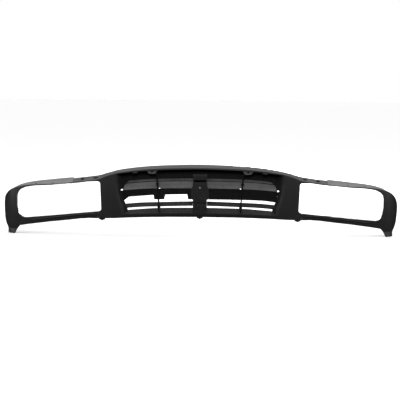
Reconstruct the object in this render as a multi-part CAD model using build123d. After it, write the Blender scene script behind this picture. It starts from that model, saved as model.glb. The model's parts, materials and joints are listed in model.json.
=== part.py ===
from build123d import *
import math
import os

# Front grille shell of a compact pickup: one curved panel that frames both headlamps and a
# louvred air intake. Millimetres. X runs across the vehicle, -Y is forward, +Z is up. The
# origin is under the middle of the panel, level with the tips of the two outer legs.

# ---- Driving dimensions: the panel's line seen from above -------------------------------
FRONT_Y = -125.0  # foremost point of the panel, on the centre line
CENTRE_RADIUS, CENTRE_TURN = 2800.0, math.radians(6.77)  # the intake's gentle bow
LAMP_RADIUS, LAMP_TURN = 1100.0, math.radians(26.6)  # sweep past the headlamps
CORNER_RADIUS, CORNER_TURN = 90.0, math.radians(80.0)  # wrap round the wing's corner
TAIL_LENGTH = 60.0  # straight end beside the wheel arch

# ---- Driving dimensions: mouldings ------------------------------------------------------
WALL = 3.0  # outer panels
THIN_WALL = 2.5  # insert and blades
GAP = 0.4  # running gap between separate mouldings
RIM_DEPTH = 16.0  # return flange round each opening
LIP_DEPTH = 19.0  # return flange along the lower edge
TOP_ROLL = 4.5  # radius between the front face and the top flange
TOP_SLOPE = math.radians(15.0)  # the top flange rises rearwards under the bonnet
CROWN = 7.0  # how far the face falls back 120 mm above or below its middle
LOW_CUT = -8.0  # the raw panel is made down to here and then trimmed
TOP_JOINT_X = 470.0  # a headlamp surround meets the centre shell here along the top
FOOT_JOINT_X = 374.0  # and here, under the inner corner of the headlamp opening

# ---- Driving dimensions: fasteners ------------------------------------------------------
MOUNT_X, MOUNT_HOLE = 388.0, 4.25  # bolts up to the bonnet landing panel
TOP_SCREW_X, FOOT_SCREW_X = 439.0, 350.0  # screws that hold a surround to the shell
FLANGE_DEPTH = 26.0  # how far behind the panel's line the flange holes sit
SCREW = 2.0  # radius of a self-tapping screw
EAR_X, EAR_HOLE = 176.0, 3.2
CLIP_X, CLIP_DEPTH = 361.0, 13.0  # push clips in the bottom lip
FOOT_S, FOOT_DEPTH, FOOT_HOLE = 735.0, 14.5, 3.2  # hole in each foot, along the panel
INSERT_SCREWS = [(299.0, 216.0), (276.5, 104.0)]  # (along the panel, height), each side
EMBLEM_SCREW_Z = 190.0
SIDE_HOLE_X, SIDE_HOLE_Z = 290.5, 175.5  # small hole right through each side of the throat

# ---- Heights along the panel: (distance along the panel from the centre line, value) ----
TOP_EDGE = [(0, 263), (126, 260), (218, 253.5), (300, 241.5), (346, 228), (374, 216.5), (413, 210),
            (470, 203), (517, 196.5), (560, 192.5), (626, 188.5), (664, 184.5), (708, 175.5),
            (748, 160), (785, 138), (856, 112)]
SHELL_FLANGE = [(0, 33), (330, 33), (374, 46), (440, 45), (500, 45)]
LAMP_FLANGE = [(340, 55), (470, 55), (517, 61), (560, 58), (626, 43), (689, 32), (715, 24), (856, 14)]
MIDDLE = [(0, 172), (300, 157), (420, 140), (560, 122), (700, 100), (852, 95)]
LOW_EDGE = [(0, 82), (118, 81), (195, 79), (264, 76), (310, 73), (366, 71), (408, 71), (444, 68),
            (485, 62), (565, 51.5), (650, 38), (700, 30)]

# ---- Heights of the insert's blades -----------------------------------------------------
BAR_BACK = [(0, 221.4), (155, 218.4), (213, 215), (260, 210), (300, 204)]
BAR_FOLD = [(0, 187.2), (157, 185.2), (213, 182.7), (280, 176.7), (300, 175)]
BAR_FOOT = [(0, 146.5), (127, 145.5), (227, 142.5), (281, 136), (300, 133.5)]
LOUVRE_FRONT = [(0, 125), (155, 120.7), (215, 118.2), (270, 113.2), (300, 110)]
LEDGE_FRONT = [(0, 98), (155, 95), (230, 91.5), (300, 88)]
LEDGE_BACK = [(0, 113.6), (155, 111), (204, 107.6), (266, 102), (300, 98)]
WALL_DEPTH = 30.0  # the insert's back wall, behind the panel's line


def along(table, s):
    """A smooth value at distance s along the panel, the same on both sides."""
    s = abs(s)
    if s >= table[-1][0]:
        return table[-1][1]
    i = max(k for k in range(len(table) - 1) if table[k][0] <= s)
    (s0, v0), (s1, v1) = table[i], table[i + 1]
    before = table[i - 1] if i else (-s1, v1)
    after = table[i + 2] if i + 2 < len(table) else (2 * s1 - s0, 2 * v1 - v0)
    slope0 = (v1 - before[1]) / (s1 - before[0]) * (s1 - s0)
    slope1 = (after[1] - v0) / (after[0] - s0) * (s1 - s0)
    t = (s - s0) / (s1 - s0)
    return (v0 * (2 * t**3 - 3 * t**2 + 1) + slope0 * (t**3 - 2 * t**2 + t)
            + v1 * (3 * t**2 - 2 * t**3) + slope1 * (t**3 - t**2))


ARCS = [(CENTRE_RADIUS, CENTRE_TURN), (LAMP_RADIUS, LAMP_TURN), (CORNER_RADIUS, CORNER_TURN)]


def plan_point(s):
    """x, y and heading of the panel's line at distance s from the centre line."""
    side, left = (1 if s >= 0 else -1), abs(s)
    x, y, heading = 0.0, FRONT_Y, 0.0
    for radius, end_heading in ARCS:
        step = min(left, radius * (end_heading - heading))
        turned = heading + step / radius
        x += radius * (math.sin(turned) - math.sin(heading))
        y += radius * (math.cos(heading) - math.cos(turned))
        heading, left = turned, left - step
        if left <= 0:
            return side * x, y, side * heading
    return side * (x + left * math.cos(heading)), y + left * math.sin(heading), side * heading


def distance_at(x):
    """Distance along the panel at which it reaches x."""
    low, high = 0.0, PANEL_END
    for _ in range(40):
        middle = (low + high) / 2
        low, high = (middle, high) if plan_point(middle)[0] < abs(x) else (low, middle)
    return math.copysign(low, x)


def panel_length():
    total, heading = TAIL_LENGTH, 0.0
    for radius, end_heading in ARCS:
        total, heading = total + radius * (end_heading - heading), end_heading
    return total


PANEL_END = panel_length()


def place(s, depth, z):
    """The point at distance s along the panel, depth behind its line and height z."""
    x, y, heading = plan_point(s)
    return Vector(x - depth * math.sin(heading), y + depth * math.cos(heading), z)


def crown(s, z):
    """How far the outer face lies behind the panel's line at height z."""
    return CROWN * ((z - along(MIDDLE, s)) / 120.0) ** 2


def stations(low, high):
    """Distances along the panel at which sections are drawn, closer where it curves."""
    right = [*range(30, 300, 30), *range(300, 484, 15), *range(500, 670, 28), *range(684, 860, 14)]
    grid = [-s for s in reversed(right)] + [0] + right
    return [low, *[s for s in grid if low + 5 < s < high - 5], high]


def section(s, corners):
    """A closed outline across the panel from (depth, z) corners. A corner given as a pair of
    points is an arc through the first one to the second."""
    edges, here = [], place(s, *corners[-1][-1]) if isinstance(corners[-1][0], tuple) else place(
        s, *corners[-1])
    for corner in corners:
        if isinstance(corner[0], tuple):
            through, end = place(s, *corner[0]), place(s, *corner[1])
            edges.append(Edge.make_three_point_arc(here, through, end))
        else:
            end = place(s, *corner)
            edges.append(Edge.make_line(here, end))
        here = end
    return Wire(edges)


def panel_section(s, near, far, widths):
    """Front face, top roll and top flange, between two offsets from the outer surface."""
    top = along(TOP_EDGE, s)
    width = along(widths, s)
    middle = (top + LOW_CUT) / 2
    roll_d, roll_z = crown(s, top) + TOP_ROLL, top - TOP_ROLL
    up = (-math.sin(TOP_SLOPE), math.cos(TOP_SLOPE))
    half = math.hypot(up[0] - 1, up[1])

    def line(offset):
        radius = max(TOP_ROLL - offset, 0.4)
        start = (roll_d + radius * up[0], roll_z + radius * up[1])
        return {"bottom": (crown(s, LOW_CUT) + offset, LOW_CUT),
                "middle": (crown(s, middle) + offset, middle),
                "roll": (roll_d - radius, roll_z),
                "over": (roll_d + radius * (up[0] - 1) / half, roll_z + radius * up[1] / half),
                "start": start,
                "end": (start[0] + width * math.cos(TOP_SLOPE),
                        start[1] + width * math.sin(TOP_SLOPE))}

    a, b = line(near), line(far)
    return section(s, [a["bottom"], (a["middle"], a["roll"]), (a["over"], a["start"]), a["end"],
                       b["end"], b["start"], (b["over"], b["roll"]), (b["middle"], b["bottom"])])


def panel(near, far, low, high, widths):
    return Solid.make_loft([panel_section(s, near, far, widths) for s in stations(low, high)])


def under_flange(near, far, low, high, front=4.0, back=43.0):
    """A layer against the underside of the top flange, between two depths behind its roll."""
    sections = []
    for s in stations(low, high):
        d0, z0 = flange_start(s)
        sections.append(section(s, [(d0 + d, z0 + d * math.tan(TOP_SLOPE) - below)
                                    for d, below in ((front, near), (back, near),
                                                     (back, far), (front, far))]))
    return Solid.make_loft(sections)


def flange_start(s):
    """Depth and height at which the top flange leaves its roll."""
    top = along(TOP_EDGE, s)
    return (crown(s, top) + TOP_ROLL * (1 - math.sin(TOP_SLOPE)),
            top - TOP_ROLL * (1 - math.cos(TOP_SLOPE)))


def flange_height(s, depth):
    """Height of the top flange's upper surface at a depth behind the panel's line."""
    d0, z0 = flange_start(s)
    return z0 + (depth - d0) * math.tan(TOP_SLOPE)


def slab(near, far, low, high, bottom=None, top_drop=9.0):
    """A layer behind the front face, from a bottom height up to just under the flange."""
    sections = []
    for s in stations(low, high):
        z0 = LOW_CUT if bottom is None else bottom
        z1 = along(TOP_EDGE, s) - top_drop
        zm = (z0 + z1) / 2
        near_arc = ((crown(s, zm) + near, zm), (crown(s, z1) + near, z1))
        far_arc = ((crown(s, zm) + far, zm), (crown(s, z0) + far, z0))
        sections.append(section(s, [(crown(s, z0) + near, z0), near_arc,
                                    (crown(s, z1) + far, z1), far_arc]))
    return Solid.make_loft(sections)


def strip(low, high, corners):
    """A moulding of constant character along the panel; corners(s) gives its outline."""
    return Solid.make_loft([section(s, corners(s)) for s in stations(low, high)])


def through(points):
    """A front-view outline of (x, z) or (x, z, corner radius) carried right through."""
    face = make_face(Polyline(*[(p[0], p[1]) for p in points], close=True))
    for p in points:
        if len(p) == 3:
            corner = min(face.vertices(), key=lambda v: math.hypot(v.X - p[0], v.Y - p[1]))
            face = fillet(corner, p[2])
    flat = Plane.XZ * face
    return extrude(flat, 200, both=True)


def mirrored(shape):
    return mirror(shape, about=Plane.YZ)


def block(x0, x1, y0, y1, z0, z1):
    return Pos((x0 + x1) / 2, (y0 + y1) / 2, (z0 + z1) / 2) * Box(x1 - x0, y1 - y0, z1 - z0)


def post(at, z0, z1, radius):
    """An upright cylinder at a plan position."""
    return Pos(at[0], at[1], (z0 + z1) / 2) * Cylinder(radius, z1 - z0)


def peg(s, z, depth0, depth1, radius):
    """A cylinder that points straight out through the panel."""
    heading = math.degrees(plan_point(s)[2])
    middle = place(s, (depth0 + depth1) / 2, z)
    return Pos(*middle) * Rot(0, 0, heading) * Rot(90, 0, 0) * Cylinder(radius, depth1 - depth0)


def joined(*shapes):
    total = shapes[0]
    for shape in shapes[1:]:
        total = total + shape
    return total


# ---- Outlines in front view -------------------------------------------------------------
def lamp_outline(grow=0.0):
    g = grow
    return [(361 - g, 97.5 - g, 12 + g), (458, 86.5 - g), (555, 74 - g), (640, 63 - g),
            (675 + g, 58.5 - g, 28 + g), (685 + g, 110), (685 + g, 160 + g, 34 + g),
            (650, 176.5 + g), (614, 183 + g), (552, 188 + g), (466, 198.5 + g), (411, 205.5 + g),
            (366 - g, 208 + g, 10 + g)]


def intake_outline():
    right = [(126, 254), (218, 247.5), (311, 236, 8), (313.5, 200), (309, 165), (301.5, 136),
             (294.5, 110), (290, 89.5, 4), (230, 91.5), (155, 95)]
    left = [(-p[0], *p[1:]) for p in reversed(right)]
    return [(0, 257), *right, (0, 98), *left]


def below_outline():
    right = [(s if s < 300 else plan_point(s)[0], z) for s, z in LOW_EDGE[:-1]]
    right += [(673, 31), (683, 20), (695, 0), (760, 0), (760, -40)]
    return [*[(-x, z) for x, z in reversed(right[1:])], *right]


def trim_low():
    """Everything below the panel's lower edge, and behind and under each corner's tail."""
    tail = [(plan_point(s)[1], z) for s, z in ((750, 0), (761, 24), (790, 52), (856, 84))]
    edge = [(tail[0][0], -40), *tail, (160, 84), (160, -40)]
    side = Plane.YZ * make_face(Polyline(*edge, close=True))
    both = [extrude(Pos(x, 0, 0) * side, 80, both=True) for x in (775, -775)]
    return joined(through(below_outline()), *both)


def shell_zone(gap):
    """The centre shell's share: the columns, and the strip above each headlamp's inner half."""
    high = block(-TOP_JOINT_X - gap, TOP_JOINT_X + gap, -160, 160, 110, 330)
    return high + block(-FOOT_JOINT_X - gap, FOOT_JOINT_X + gap, -160, 160, -40, 110)


# ---- Fastening points -------------------------------------------------------------------
def flange_pad(x):
    """Plan position and height of the level pad round a hole in the top flange."""
    s = distance_at(x)
    return place(s, FLANGE_DEPTH, 0), flange_height(s, FLANGE_DEPTH) + 2.4


def pad_on_flange(x, radius):
    at, top = flange_pad(x)
    return post((at.X, at.Y), top - 8.0, top, radius)


def bottom_lip(low, high, under=0.0):
    """The return flange along the lower edge, started a little lower where it is trimmed."""
    def corners(s):
        z = along(LOW_EDGE, s) + 0.3
        return [(crown(s, z) + WALL - 0.6, z - under), (LIP_DEPTH, z - under), (LIP_DEPTH, z + 2.5),
                (crown(s, z) + WALL - 0.6, z + 2.5)]
    return strip(low, high, corners)


# ---- The rolled inner edge of each column, and the throat behind it ----------------------
ROLL = 14.0  # radius of the edge
THROAT_DEPTH = 29.5
COLUMN_EDGE = [(82, 291, 55), (110, 296.5, 55), (136, 303.5, 65), (165, 311, 64), (200, 315.5, 62),
               (250, 312, 64)]  # (height, x where the face starts to roll, degrees it turns)


def throat_line(z, x0, turn, inset):
    """The roll and the wall behind it, as points across the column at one height."""
    angle = math.radians(turn)
    radius = ROLL - inset

    def at(x, depth):
        s = distance_at(x)
        return place(s, crown(s, z) + 0.25 + depth, z)

    rolled = [at(x0 - radius * math.sin(t), ROLL - radius * math.cos(t)) for t in (0, angle / 2, angle)]
    end_x = x0 - radius * math.sin(angle)
    end_depth = ROLL - radius * math.cos(angle)
    reach = THROAT_DEPTH - crown(distance_at(end_x), z) - end_depth
    return rolled, at(end_x - reach / math.tan(angle), end_depth + reach)


def throat():
    """Rolled edge, throat wall and the flange that the insert is screwed to."""
    sections = []
    for z, x0, turn in COLUMN_EDGE:
        outer, outer_end = throat_line(z, x0, turn, 0)
        inner, inner_end = throat_line(z, x0, turn, WALL)
        lift = Vector(0, -THIN_WALL, 0)
        tab = outer_end + Vector(15, 1.5, 0)
        corner = inner_end + lift + Vector(1.2, 0, 0)
        sections.append(Wire([
            Edge.make_three_point_arc(*outer), Edge.make_line(outer[2], outer_end),
            Edge.make_line(outer_end, tab), Edge.make_line(tab, tab + lift),
            Edge.make_line(tab + lift, corner), Edge.make_line(corner, inner[2]),
            Edge.make_three_point_arc(inner[2], inner[1], inner[0]),
            Edge.make_line(inner[0], outer[0])]))
    return Solid.make_loft(sections, True) - above_flange(280, 335)


def beyond_throat(gap):
    """Everything outboard of the throat's surface, less a clearance."""
    sections = []
    for z, x0, turn in COLUMN_EDGE:
        outer, end = throat_line(z, x0, turn, 0)
        front, back = Vector(350, outer[0].Y - 9, z), Vector(350, end.Y + 9, z)
        start = outer[0] + Vector(0, -9, 0)
        sections.append(Wire([
            Edge.make_line(start, outer[0]), Edge.make_three_point_arc(*outer),
            Edge.make_line(outer[2], end + Vector(0, 0.4, 0)),
            Edge.make_line(end + Vector(0, 0.4, 0), back), Edge.make_line(back, front),
            Edge.make_line(front, start)]))
    return Pos(-gap, 0, 0) * Solid.make_loft(sections, True)


def above_flange(low, high):
    """Everything above the middle of the top flange's thickness."""
    def corners(s):
        d0, z0 = flange_start(s)
        slope = math.tan(TOP_SLOPE)
        return [(-20, z0 - 1.5 - (d0 + 20) * slope), (80, z0 - 1.5 + (80 - d0) * slope), (80, 340),
                (-20, 340)]
    return strip(low, high, corners)


def tab_outline(s):
    """A small wedge that hangs under the top edge of the intake."""
    top = along(TOP_EDGE, s)
    return [(3.2, top - 11), (6.2, top - 6), (6.2, top - 1), (8.2, top - 1), (8.2, top - 11)]


def lower_bevel(s):
    """What is shaved off the lower front edge so that it rolls under, fading out sideways."""
    low = along(LOW_EDGE, s)
    depth = 2.4 * (1 - (s / 345) ** 2)
    return [(crown(s, low) - 3, low - 2), (crown(s, low) - 3, low + 11),
            (crown(s, low + 11) - 0.05, low + 11), (crown(s, low - 2) + depth, low - 2)]


def under_ledge(low, high):
    """Everything below the upper surface of the insert's bottom ledge."""
    return strip(low, high, lambda s: [(0, 60), (0, along(LEDGE_FRONT, s) + 0.3),
                                       (WALL_DEPTH + 2, along(LEDGE_BACK, s) + 0.5),
                                       (WALL_DEPTH + 2, 60)])


# ---- Sub-parts --------------------------------------------------------------------------
def centre_shell():
    reach = 500
    face = panel(0, WALL, -reach, reach, SHELL_FLANGE)
    ring = through(lamp_outline(WALL)) - through(lamp_outline())
    rim = slab(WALL - 0.6, RIM_DEPTH, 340, 480) & ring
    body = joined(face, rim, mirrored(rim), bottom_lip(-400, 400))
    body = body - through(intake_outline())
    lip_tab = strip(229, 246, tab_outline)
    for piece in (throat(), lip_tab):
        body = joined(body, piece, mirrored(piece))
    for x in (MOUNT_X, TOP_SCREW_X):
        pad = pad_on_flange(x, 9.0 if x == MOUNT_X else 7.5)
        body = joined(body, pad, mirrored(pad))
    body = body - through(lamp_outline()) - mirrored(through(lamp_outline()))
    body = body - strip(-330, 330, lower_bevel)
    body = (body - trim_low()) & shell_zone(-GAP / 2)
    for x, radius in ((MOUNT_X, MOUNT_HOLE), (TOP_SCREW_X, SCREW + 0.3)):
        at, top = flange_pad(x)
        hole = post((at.X, at.Y), top - 20, top + 20, radius)
        body = body - hole - mirrored(hole)
    s = distance_at(FOOT_SCREW_X)
    holes = [peg(s, 84, crown(s, 84) + 1.0, 20, SCREW)]
    holes += [peg(s, z, 20, 40, SCREW) for s, z in INSERT_SCREWS]
    holes.append(peg(distance_at(SIDE_HOLE_X), SIDE_HOLE_Z, 8, 50, 2.9))
    for hole in holes:
        body = body - hole - mirrored(hole)
    for x in (-CLIP_X, 0, CLIP_X):
        s = distance_at(x)
        at = place(s, CLIP_DEPTH, 0)
        body = body - post((at.X, at.Y), along(LOW_EDGE, s) - 2, along(LOW_EDGE, s) + 9, 3.0)
    return body


def headlamp_surround():
    """The right-hand one: strip, corner, leg and the rail under the headlamp."""
    face = panel(0, WALL, 345, PANEL_END, LAMP_FLANGE)
    ring = through(lamp_outline(WALL)) - through(lamp_outline())
    rim = slab(WALL - 0.6, RIM_DEPTH, 345, 760) & ring
    sole = slab(WALL - 0.6, 21, 700, 752, -6, 60) & block(696, 724, -160, 160, 0, 3)
    ridge = strip(384, 640, rail_ridge)
    toe = strip(710, 752, lambda s: [(crown(s, 18) + 1.5, 18), (crown(s, 18) + 0.1, 18),
                                     (crown(s, 0) - 4.0, 1.5), (crown(s, 0) - 4.0, -3),
                                     (crown(s, 0) + 1.5, -3)])
    body = joined(face, rim, bottom_lip(345, 668, 3.0), ridge, toe)
    body = body - through(lamp_outline()) - trim_low() - shell_zone(GAP / 2)
    low, joint, high = 428.0, distance_at(TOP_JOINT_X), distance_at(TOP_JOINT_X) + 14
    root = under_flange(WALL - 1.5, WALL + 2.6, joint, high - 1, 6, 41)
    tongue = joined(under_flange(WALL + 0.6, WALL + 3.4, low, high),
                    root & block(TOP_JOINT_X + GAP / 2, 600, -160, 160, 0, 300))
    at, top = flange_pad(TOP_SCREW_X)
    tongue = tongue - post((at.X, at.Y), top - 8.4, top + 5, 8.2)
    tongue = tongue + post((at.X, at.Y), top - 11.4, top - 8.4, 9.0)
    tongue = tongue - post((at.X, at.Y), top - 20, top + 5, SCREW)
    lower = joined(slab(WALL + 0.5, WALL + 3.3, 341, 396, 77, 60) & through(FOOT_TONGUE),
                   slab(WALL - 0.6, WALL + 3.3, distance_at(FOOT_JOINT_X), 396, 77, 60)
                   & through(FOOT_TONGUE) & block(FOOT_JOINT_X + GAP / 2, 420, -160, 160, 0, 200))
    s = distance_at(FOOT_SCREW_X)
    lower = lower - peg(s, 84, 0, 30, SCREW + 0.2)
    body = joined(body, sole, tongue, lower)
    at = place(FOOT_S, FOOT_DEPTH, 0)
    body = body - post((at.X, at.Y), -5, 10, FOOT_HOLE)
    for x in (550, 616):
        at = place(distance_at(x), 12, 0)
        body = body - block(at.X - 4, at.X + 4, at.Y - 3, at.Y + 3, 150, 260)
    return body


def rail_ridge(s):
    """A low ridge along the rail under the headlamp."""
    z = along(LOW_EDGE, s) + 14.5
    c = crown(s, z)
    return [(c + 1, z - 3.5), (c - 1.4, z - 1.2), (c - 1.4, z + 1.2), (c + 1, z + 3.5)]


FOOT_TONGUE = [(340, 78), (394, 78), (394, 91), (340, 91)]


def insert_frame():
    """Back wall above the bars, funnelled sides, spine behind the emblem, and bottom ledge."""
    def wall(s):
        top = flange_height(s, WALL_DEPTH) - 3.1 - 0.6
        low = along(BAR_BACK, s) - 9
        return [(WALL_DEPTH, low), (WALL_DEPTH, top), (WALL_DEPTH + THIN_WALL, top),
                (WALL_DEPTH + THIN_WALL, low)]

    def ledge(s):
        z0, z1 = along(LEDGE_FRONT, s) - 0.2, along(LEDGE_BACK, s)
        d0 = crown(s, z0 - 7) + WALL + 0.4
        return [(d0, z0 - 7), (d0, z0), (WALL_DEPTH + 2, z1), (WALL_DEPTH + 2, z1 - 13),
                (WALL_DEPTH, z1 - 13), (WALL_DEPTH, z1 - 3.5), (d0 + THIN_WALL, z0 - 2.5),
                (d0 + THIN_WALL, z0 - 7)]

    spine = strip(-37, 37, lambda s: [(WALL_DEPTH, 104), (WALL_DEPTH, 230),
                                      (WALL_DEPTH + THIN_WALL, 230), (WALL_DEPTH + THIN_WALL, 104)])
    spine = spine & through([(-45, 240), (-45, 155), (-13, 140), (-13, 98), (13, 98), (13, 140),
                             (45, 155), (45, 240)])
    front, back = WALL_DEPTH + 0.1, WALL_DEPTH + THIN_WALL - 0.1
    end_post = strip(252, 306, lambda s: [(front, 88), (front, 232), (back, 232), (back, 88)])
    end_post = end_post & through([(262, 228), (262, 196), (274, 178), (283, 158), (283, 138),
                                   (268, 110), (262, 90), (288, 90), (304, 140), (304, 228)])
    wedge = beyond_throat(0.4)
    shelf = strip(-290, 290, ledge) - wedge - mirrored(wedge)
    body = joined(strip(-303, 303, wall), shelf, spine, end_post, mirrored(end_post))
    holes = [peg(s, z, 20, 50, SCREW + 0.2) for s, z in INSERT_SCREWS]
    for hole in (*holes, peg(distance_at(SIDE_HOLE_X), SIDE_HOLE_Z, 20, 50, 3.8)):
        body = body - hole - mirrored(hole)
    body = body - peg(0, EMBLEM_SCREW_Z, 20, 50, SCREW)
    return body


def bar_section(s, grow=0.0):
    """A sloping shelf that folds down into an upright skirt."""
    back, fold, foot = along(BAR_BACK, s), along(BAR_FOLD, s), along(BAR_FOOT, s)
    g = grow
    rear = WALL_DEPTH - 0.3 + g
    return [(8 - g, foot - g), (8 - g, fold + g), (21.5 - g, back - 9.5 + g), (22 - g, back - 6.5 + g),
            (rear, back + 2 * g), (rear, back - 5 - g), (22 + THIN_WALL + g, back - 12.5 - g),
            (8 + THIN_WALL + g, fold - 3 - g), (8 + THIN_WALL + g, foot - g)]


def louvre_section(s, grow=0.0):
    z, g = along(LOUVRE_FRONT, s), grow
    return [(12 - g, z - g), (26 + g, z + 12.8 + 2 * g), (26 + g, z + 9.8 - g), (13 - g, z - 2.5 - g)]


def tower_outline(grow=0.0):
    g = grow
    right = [(25.5 + g, 236.5 + g), (25.5 + g, 198), (32 + g, 180), (32 + g, 150),
             (25.5 + g, 145), (25.5 + g, 98 - g)]
    return [*right, *[(-x, z) for x, z in reversed(right)]]


def bar_end():
    """What is left of a crossbar at its rounded outer end."""
    return through([(20, 120), (280.5, 120), (282, 177), (277.5, 191), (269, 201.5, 5), (254, 216),
                    (20, 240)])


def crossbar():
    sight_hole = through([(145, 184.4), (150, 184.4), (150, 186.8), (145, 186.8)])
    return (strip(20, 290, bar_section) & bar_end()) - through(tower_outline(GAP)) - sight_hole


def notches():
    """Two slots that lighten the skirt of the left-hand crossbar from below."""
    inner = through([(39, 120), (46, 165, 3), (126, 163, 3), (136, 120)])
    outer = through([(164, 120), (169, 161, 3), (260, 152.5, 3), (281, 136), (281, 120)])
    return mirrored(inner + outer)


def louvre():
    blade = strip(20, 290, louvre_section) - through(tower_outline(GAP))
    return blade & through([(20, 90), (264, 90), (267, 110), (280.5, 136), (280.5, 150), (20, 150)])


def divider():
    """An upright fin notched over both blades, with a knob where it crosses each."""
    fin = through([(146, 97), (150.5, 97), (159.5, 236), (155, 236)])
    depth = strip(130, 180, lambda s: [(3, 90), (3, 240), (WALL_DEPTH - 0.3, 240),
                                       (WALL_DEPTH - 0.3, 90)])
    knobs = joined(peg(155.5, 203, 2, 8, 5.5), peg(149.5, 117, 2, 8, 5.5))
    clear = joined(strip(130, 180, lambda s: bar_section(s, 0.4)),
                   strip(130, 180, lambda s: louvre_section(s, 0.4)))
    return joined(fin & depth, knobs) - under_ledge(130, 180) - clear


def emblem_mount():
    """A hollow tower open at the back, ribbed in two blocks, that carries the emblem."""
    solid = through(tower_outline()) & strip(-50, 50, lambda s: [(3, 90), (3, 240),
                                                                (WALL_DEPTH - 0.3, 240),
                                                                (WALL_DEPTH - 0.3, 90)])
    hollow = through(tower_outline(-THIN_WALL)) & block(-60, 60, FRONT_Y + 6, 160, 0, 300)
    body = solid - hollow
    body = body - block(-60, 60, -160, FRONT_Y + 5, 130, 134) - block(-21, 21, -160, FRONT_Y + 8, 210, 217)
    for i in range(4):
        x = 13.0 * (i - 1.5)
        for z0, z1 in ((219, 235), (135.5, 149), (113, 128.5)):
            body = body + block(x - 3.2, x + 3.2, FRONT_Y + 0.2, FRONT_Y + 5, z0, z1)
    body = body + peg(0, EMBLEM_SCREW_Z, 5, WALL_DEPTH - 0.3, 6)
    return body - under_ledge(-60, 60) - peg(0, EMBLEM_SCREW_Z, 0, 60, SCREW + 0.3)


def screw(s, z, seat, tip, head=4.2):
    """A pan-headed screw driven along the panel's normal; seat is where its head bears."""
    away = 1 if seat > tip else -1
    cap = peg(s, z, *sorted((seat + 0.3 * away, seat + 2.6 * away)), head)
    slot = peg(s, z, *sorted((seat + 1.2 * away, seat + 4 * away)), 1.4)
    return cap - slot + peg(s, z, *sorted((seat + 1.2 * away, tip)), SCREW - 0.1) - slot


def both_sides(shape):
    return [shape, mirrored(shape)]


def insert_screw(s, z):
    return screw(s, z, WALL_DEPTH + THIN_WALL, THROAT_DEPTH - 3.5)


def surround_screws():
    at, top = flange_pad(TOP_SCREW_X)
    head = post((at.X, at.Y), top + 0.05, top + 2.8, 5.0) - post((at.X, at.Y), top + 1.4, top + 4, 1.6)
    upper = head + post((at.X, at.Y), top - 13.5, top + 1.4, SCREW - 0.1)
    s = distance_at(FOOT_SCREW_X)
    lower = screw(s, 84, crown(s, 84) + WALL + 3.3, crown(s, 84) + 1.3)
    return [upper, lower]


def spring_nut_ear():
    """A folded steel ear that hangs from the top flange in front of the insert's wall."""
    s = distance_at(EAR_X)
    depth = 9.0
    top = flange_height(s, depth) - 3.1 - 2.4
    heading = plan_point(s)[2]
    outline = make_face(Polyline((-22, top), (-11, 238), (11, 238), (22, top), close=True))
    outline = fillet(outline.vertices().filter_by(lambda v: v.Y < 245), 7)
    face = extrude(Plane.XZ * outline, -1.4) - extrude(Plane.XZ * Pos(0, 246) * Circle(EAR_HOLE), -1.4)
    rise = 14 * math.tan(TOP_SLOPE)
    fold = make_face(Polyline((0, top), (14, top + rise), (14, top + rise - 1.4), (0, top - 1.6),
                              close=True))
    fold = extrude(Plane.YZ * fold, 20, both=True)
    middle = place(s, depth, 0)
    return Pos(middle.X, middle.Y, 0) * Rot(0, 0, math.degrees(heading)) * (face + fold)


def lower_clip(x):
    """A push clip through the bottom lip: a head above it, a foot below."""
    s = distance_at(x)
    at = place(s, CLIP_DEPTH, 0)
    spot, z = (at.X, at.Y), along(LOW_EDGE, s) + 0.3
    heading = math.degrees(plan_point(s)[2])
    plate = Pos(at.X, at.Y, z - 2.7) * Rot(0, 0, heading) * Box(21, 11, 4.6)
    plate = chamfer(plate.edges().filter_by(Axis.Z), 2.5)
    return joined(post(spot, z + 2.8, z + 4.5, 5.5), post(spot, z - 1, z + 3, 2.7), plate,
                  post(spot, z - 7.8, z - 4, 4.0))


def foot_spring_nut():
    """A square nut plate that sits on the sole of a foot."""
    at = place(FOOT_S, FOOT_DEPTH, 0)
    heading = math.degrees(plan_point(FOOT_S)[2])
    plate = Pos(at.X, at.Y, 3.95) * Rot(0, 0, heading) * Box(13, 12, 1.6)
    collar = post((at.X, at.Y), 4.5, 8.5, 5.0)
    return plate + collar - post((at.X, at.Y), 0, 12, 2.9)


def save(name, shapes):
    group = shapes if isinstance(shapes, list) else [shapes]
    solids = [solid for shape in group for solid in shape.solids()]
    export_step(Compound(children=solids) if len(solids) > 1 else solids[0], f"parts/{name}.step")


def main():
    os.makedirs("parts", exist_ok=True)
    surround, bar, blade, fin, ear = (headlamp_surround(), crossbar(), louvre(), divider(),
                                      spring_nut_ear())
    save("centre_shell", centre_shell())
    save("right_headlamp_surround", surround)
    save("left_headlamp_surround", mirrored(surround))
    save("insert_frame", insert_frame())
    save("crossbar_right", bar)
    save("crossbar_left", mirrored(bar) - notches())
    save("lower_louvre_right", blade)
    save("lower_louvre_left", mirrored(blade))
    save("divider_right", fin)
    save("divider_left", mirrored(fin))
    save("emblem_mount", emblem_mount())
    save("emblem_mount_screw", screw(0, EMBLEM_SCREW_Z, 2.9, WALL_DEPTH + 6, 4.2))
    save("insert_screws_upper", both_sides(insert_screw(*INSERT_SCREWS[0])))
    save("insert_screws_lower", both_sides(insert_screw(*INSERT_SCREWS[1])))
    save("surround_screws_right", surround_screws())
    save("surround_screws_left", [mirrored(shape) for shape in surround_screws()])
    save("spring_nut_ear_right", ear)
    save("spring_nut_ear_left", mirrored(ear))
    save("lower_clip_centre", lower_clip(0))
    save("lower_clip_right", lower_clip(CLIP_X))
    save("lower_clip_left", mirrored(lower_clip(CLIP_X)))
    save("foot_spring_nut_right", foot_spring_nut())
    save("foot_spring_nut_left", mirrored(foot_spring_nut()))


main()
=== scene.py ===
import json
import math

import bpy
from mathutils import Matrix, Vector


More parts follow.
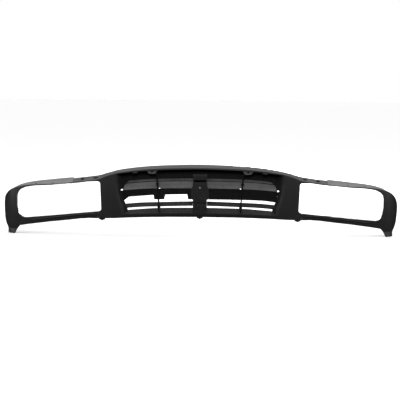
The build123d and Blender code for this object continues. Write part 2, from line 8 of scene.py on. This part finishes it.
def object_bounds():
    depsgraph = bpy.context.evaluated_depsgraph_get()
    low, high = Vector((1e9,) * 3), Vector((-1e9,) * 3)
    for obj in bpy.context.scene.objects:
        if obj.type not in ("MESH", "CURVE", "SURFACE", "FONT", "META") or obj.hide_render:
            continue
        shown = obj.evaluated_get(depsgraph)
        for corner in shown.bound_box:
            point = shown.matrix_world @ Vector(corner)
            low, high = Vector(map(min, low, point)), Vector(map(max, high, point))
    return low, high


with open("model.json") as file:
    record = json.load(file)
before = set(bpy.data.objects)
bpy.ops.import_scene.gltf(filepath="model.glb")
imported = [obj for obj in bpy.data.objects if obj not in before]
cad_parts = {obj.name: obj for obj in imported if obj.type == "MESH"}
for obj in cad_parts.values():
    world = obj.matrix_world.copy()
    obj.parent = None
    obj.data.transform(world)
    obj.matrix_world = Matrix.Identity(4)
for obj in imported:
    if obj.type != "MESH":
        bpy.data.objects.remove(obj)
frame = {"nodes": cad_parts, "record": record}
nodes = frame["nodes"]
cad_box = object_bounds()

# ---- Materials --------------------------------------------------------------------------
DUST_AND_SHEEN_COLOUR = (0.34, 0.34, 0.335)  # colour of settled dust; on upward faces it also paints the sheen of the overhead light
DUST_AND_SHEEN_SPREAD = 0.35  # from the first trace of dust and painted sheen to a full layer, as a change in the normal's Z
DUST_AND_SHEEN_FULL_BY = 0.94  # the normal's Z by which the layer is full at the latest
DUST_AND_SHEEN_DULLING = 0.25  # roughness that a full layer adds
SCUFF_SHARE = 0.4  # how far the worn edges take the scuffed colour
PLASTIC_GRAIN, PLASTIC_WAVE = 0.00006, 0.0004  # depth of the grain and of the mould's ripple, metres
SPOT_SHARE = 0.35  # how far the dull spots on steel take the darker colour
STEEL_STREAKS, STEEL_SPOTS = 0.00004, 0.00003  # depths in metres


def shaded(colour, factor, lift=0.0):
    """A colour made lighter or darker."""
    return tuple(c * factor + lift for c in colour)


class Graph:
    """A small helper for building a material's nodes in a line or two each."""

    def __init__(self, name):
        self.material = bpy.data.materials.new(name)
        self.material.use_nodes = True
        self.tree = self.material.node_tree
        self.shader = self.tree.nodes["Principled BSDF"]
        self.place = self.add("ShaderNodeTexCoord").outputs["Object"]

    def add(self, kind, **values):
        node = self.tree.nodes.new(kind)
        for key, value in values.items():
            setattr(node, key, value)
        return node

    def link(self, source, target):
        self.tree.links.new(source, target)

    def noise(self, scale, detail, roughness=0.55, place=None):
        node = self.add("ShaderNodeTexNoise")
        node.inputs["Scale"].default_value = scale
        node.inputs["Detail"].default_value = detail
        node.inputs["Roughness"].default_value = roughness
        self.link(place or self.place, node.inputs["Vector"])
        return node.outputs["Fac"]

    def stretched(self, x, y, z):
        node = self.add("ShaderNodeMapping")
        node.inputs["Scale"].default_value = (x, y, z)
        self.link(self.place, node.inputs["Vector"])
        return node.outputs["Vector"]

    def ramp(self, value, low, high):
        """A grey that goes from one (position, level) to another."""
        node = self.add("ShaderNodeValToRGB")
        for element, (position, level) in zip(node.color_ramp.elements, (low, high)):
            element.position = position
            element.color = (level, level, level, 1)
        self.link(value, node.inputs["Fac"])
        return node.outputs["Color"]

    def mix(self, factor, a, b, blend="MIX"):
        node = self.add("ShaderNodeMix", data_type="RGBA", blend_type=blend)
        for socket, value in ((node.inputs[0], factor), (node.inputs[6], a), (node.inputs[7], b)):
            if hasattr(value, "is_output"):
                self.link(value, socket)
            elif isinstance(value, tuple):
                socket.default_value = (*value, 1)
            else:
                socket.default_value = value
        return node.outputs[2]

    def maths(self, operation, a, b):
        node = self.add("ShaderNodeMath", operation=operation)
        for socket, value in zip(node.inputs, (a, b)):
            if hasattr(value, "is_output"):
                self.link(value, socket)
            else:
                socket.default_value = value
        return node.outputs[0]

    def bump(self, *layers):
        """Bump layers as (height, distance in metres), one on top of the other."""
        normal = None
        for height, distance in layers:
            node = self.add("ShaderNodeBump")
            node.inputs["Strength"].default_value = 1.0
            node.inputs["Distance"].default_value = distance
            self.link(height, node.inputs["Height"])
            if normal:
                self.link(normal, node.inputs["Normal"])
            normal = node.outputs["Normal"]
        self.link(normal, self.shader.inputs["Normal"])


def dust_and_sheen_layer(g, geometry, patches, amount, from_tilt):
    """How much dust and painted sheen lies at each point: on upward faces, in patches, with streaks."""
    up = g.add("ShaderNodeSeparateXYZ")
    g.link(geometry.outputs["Normal"], up.inputs[0])
    full_tilt = min(DUST_AND_SHEEN_FULL_BY, from_tilt + DUST_AND_SHEEN_SPREAD)
    # Lighter the more a face points up: real dust, and a painted sheen of the overhead light.
    upward = g.ramp(up.outputs["Z"], (from_tilt, 0.0), (full_tilt, 1.0))
    flow = g.noise(9, 3, 0.6, g.stretched(1, 4, 12))
    dust_and_sheen_mask = g.mix(1.0, upward, g.ramp(patches, (0.25, 0.6), (0.72, 1.0)), "MULTIPLY")
    dust_and_sheen_mask = g.mix(1.0, dust_and_sheen_mask, g.ramp(flow, (0.3, 0.7), (0.7, 1.0)), "MULTIPLY")
    return g.maths("MULTIPLY", dust_and_sheen_mask, amount)


def moulded(name, colour, dust_and_sheen_amount, gloss, specular, from_tilt=0.7):
    """Black moulded plastic: fine grain, mottled gloss, scuffed edges, dust and painted sheen on upper
    faces.
    """
    g = Graph(name)
    shader = g.shader
    patches = g.noise(38, 5, 0.65)
    geometry = g.add("ShaderNodeNewGeometry")
    dust_and_sheen_mask = dust_and_sheen_layer(g, geometry, patches, dust_and_sheen_amount, from_tilt)
    base = g.mix(g.noise(6, 4), shaded(colour, 0.75), shaded(colour, 1.2))
    # Upward faces go towards the pale dust colour: partly dust, partly painted sheen of the overhead
    # light.
    base = g.mix(dust_and_sheen_mask, base, DUST_AND_SHEEN_COLOUR)
    edge = g.ramp(geometry.outputs["Pointiness"], (0.52, 0.0), (0.60, 1.0))
    worn = g.mix(1.0, edge, g.ramp(g.noise(140, 3), (0.42, 0.0), (0.7, 1.0)), "MULTIPLY")
    base = g.mix(g.maths("MULTIPLY", worn, SCUFF_SHARE), base, shaded(colour, 2.0, 0.012))
    g.link(base, shader.inputs["Base Color"])
    rough = g.ramp(patches, (0.25, gloss - 0.06), (0.75, gloss + 0.08))
    rough = g.maths("ADD", rough, g.maths("MULTIPLY", dust_and_sheen_mask, DUST_AND_SHEEN_DULLING))
    g.link(rough, shader.inputs["Roughness"])
    shader.inputs["Specular IOR Level"].default_value = specular
    g.bump((g.noise(900, 2), PLASTIC_GRAIN), (g.noise(24, 2), PLASTIC_WAVE))
    return g.material


def plated(name, colour, rough):
    """Steel hardware: brushed streaks, dull spots."""
    g = Graph(name)
    shader = g.shader
    shader.inputs["Metallic"].default_value = 1.0
    streaks = g.noise(60, 4, 0.6, g.stretched(1, 1, 14))
    spots = g.ramp(g.noise(420, 4), (0.45, 0.0), (0.62, 1.0))
    base = g.mix(streaks, shaded(colour, 0.7), colour)
    base = g.mix(g.maths("MULTIPLY", spots, SPOT_SHARE), base, shaded(colour, 0.45))
    g.link(base, shader.inputs["Base Color"])
    g.link(g.ramp(streaks, (0.3, rough - 0.08), (0.7, rough + 0.12)), shader.inputs["Roughness"])
    g.bump((streaks, STEEL_STREAKS), (spots, STEEL_SPOTS))
    return g.material


finishes = {
    "shell": moulded("shell_plastic", (0.021, 0.0212, 0.0218), dust_and_sheen_amount=0.20, gloss=0.5, specular=0.27),
    # The surround's large dust amount also paints the pale sheen of the overhead light on the lamp
    # strips.
    "surround": moulded("surround_plastic", (0.018, 0.0182, 0.0188), dust_and_sheen_amount=0.58, gloss=0.42,
                        specular=0.33),
    # The insert's darker colour is partly its own plastic, partly painted shade in the recess behind the
    # shell.
    "insert": moulded("insert_plastic", (0.010, 0.010, 0.0102), dust_and_sheen_amount=0.02, gloss=0.52, specular=0.14),
    # The blades lighten from a slight upward tilt: dust, and painted light from overhead on their
    # sloping faces.
    "blade": moulded("blade_plastic", (0.0045, 0.0045, 0.0046), dust_and_sheen_amount=0.40, gloss=0.42, specular=0.2,
                     from_tilt=0.15),
    "louvre": moulded("louvre_plastic", (0.005, 0.005, 0.0051), dust_and_sheen_amount=0.08, gloss=0.5, specular=0.15,
                      from_tilt=0.15),
    "divider": moulded("divider_plastic", (0.004, 0.004, 0.0042), dust_and_sheen_amount=0.15, gloss=0.5,
                       specular=0.15),
    "emblem_mount": moulded("tower_plastic", (0.016, 0.016, 0.0162), dust_and_sheen_amount=0.3, gloss=0.42,
                            specular=0.35, from_tilt=0.3),
    "clip": moulded("clip_nylon", (0.015, 0.015, 0.016), dust_and_sheen_amount=0.3, gloss=0.4, specular=0.3),
    "screw": plated("blackened_steel", (0.07, 0.07, 0.072), rough=0.4),
    "bright_screw": plated("zinc_plate", (0.75, 0.74, 0.72), rough=0.34),
    "ear": plated("phosphated_steel", (0.36, 0.36, 0.37), rough=0.38),
    "nut": plated("dark_spring_steel", (0.20, 0.20, 0.21), rough=0.45),
}

# The record's slot decides each node's finish, except where one node differs from its slot.
slots = {part["node"]: part["material_slot"] for part in frame["record"]["subparts"]}
special = {"lower_louvre_left": "louvre", "lower_louvre_right": "louvre",
           "emblem_mount_screw": "bright_screw"}
for name, node in nodes.items():
    finish = special.get(name, slots[name])
    node.data.materials.clear()
    node.data.materials.append(finishes[finish])

# ---- Floor ------------------------------------------------------------------------------
FLOOR_SIZE, FLOOR_DROP = 30, 0.001  # metres; the drop keeps it clear of the feet
FLOOR_WHITE, FLOOR_ROUGHNESS = (0.95, 0.95, 0.95, 1), 0.9

white = Graph("studio_white")
white.shader.inputs["Roughness"].default_value = FLOOR_ROUGHNESS
white.shader.inputs["Base Color"].default_value = FLOOR_WHITE
bpy.ops.mesh.primitive_plane_add(size=FLOOR_SIZE, location=(0, 0, cad_box[0][2] - FLOOR_DROP))
floor = bpy.context.object
floor.name = "floor"
floor.data.materials.append(white.material)
floor.visible_diffuse = floor.visible_glossy = False

# ---- World: a bright ceiling over a dim room, plain white where the camera sees it -------
CEILING_FROM, CEILING_FULL = 0.35, 0.85  # the direction's Z at which it starts and is brightest
ROOM_STRENGTH, CEILING_STRENGTH = 0.02, 1.7

world = bpy.data.worlds.new("studio")
world.use_nodes = True
tree = world.node_tree
background = tree.nodes["Background"]
coordinates = tree.nodes.new("ShaderNodeTexCoord")
direction = tree.nodes.new("ShaderNodeSeparateXYZ")
tree.links.new(coordinates.outputs["Generated"], direction.inputs[0])
overhead = tree.nodes.new("ShaderNodeMapRange")
overhead.inputs["From Min"].default_value = CEILING_FROM
overhead.inputs["From Max"].default_value = CEILING_FULL
overhead.inputs["To Min"].default_value = ROOM_STRENGTH
overhead.inputs["To Max"].default_value = CEILING_STRENGTH
tree.links.new(direction.outputs["Z"], overhead.inputs["Value"])
path = tree.nodes.new("ShaderNodeLightPath")
seen = tree.nodes.new("ShaderNodeMath")
seen.operation = "MAXIMUM"
tree.links.new(overhead.outputs["Result"], seen.inputs[0])
tree.links.new(path.outputs["Is Camera Ray"], seen.inputs[1])
tree.links.new(seen.outputs[0], background.inputs["Strength"])
background.inputs["Color"].default_value = (1, 1, 1, 1)
bpy.context.scene.world = world
bpy.context.scene.view_settings.view_transform = "Standard"

# ---- Lights -----------------------------------------------------------------------------
MIDDLE, LAMP_X, LAMP_HEIGHT = (0, 0, 0.15), 0.6, 0.12  # what the lights are aimed at
SIDE_X, SIDE_Y, SIDE_HEIGHT, SIDE_SIZE = 3.0, -0.5, 0.9, 0.7


def softbox(name, place, target, size, watts):
    light = bpy.data.lights.new(name, "AREA")
    light.shape, light.size, light.energy = "DISK", size, watts
    lamp = bpy.data.objects.new(name, light)
    lamp.location = place
    lamp.rotation_euler = (Vector(target) - Vector(place)).to_track_quat("-Z", "Y").to_euler()
    bpy.context.collection.objects.link(lamp)


softbox("front_light", (0, -3.0, 1.9), MIDDLE, size=1.2, watts=36)
softbox("back_light", (0.6, 3.2, 0.5), MIDDLE, size=0.8, watts=60)
for name, side, watts in (("side_left", -1, 26), ("side_right", 1, 21)):
    place = (side * SIDE_X, SIDE_Y, SIDE_HEIGHT)
    softbox(name, place, (side * LAMP_X, 0, LAMP_HEIGHT), SIDE_SIZE, watts)

# ---- Camera -----------------------------------------------------------------------------
AZIMUTH, ELEVATION, ROLL = math.radians(0.73), math.radians(6.1), math.radians(0.5)
DISTANCE, TARGET = 5.0, Vector((0, -0.065, 0.139))
SENSOR_WIDTH, FOCAL_LENGTH = 36, 122.1  # millimetres

camera_data = bpy.data.cameras.new("camera")
camera_data.sensor_width = SENSOR_WIDTH
camera_data.lens = FOCAL_LENGTH
camera = bpy.data.objects.new("camera", camera_data)
back = Vector((math.sin(AZIMUTH) * math.cos(ELEVATION), -math.cos(AZIMUTH) * math.cos(ELEVATION),
               math.sin(ELEVATION)))
turn = (-back).to_track_quat("-Z", "Y").to_matrix().to_4x4()
camera.matrix_world = Matrix.Translation(TARGET + back * DISTANCE) @ turn @ Matrix.Rotation(ROLL, 4, "Z")
bpy.context.collection.objects.link(camera)
bpy.context.scene.camera = camera
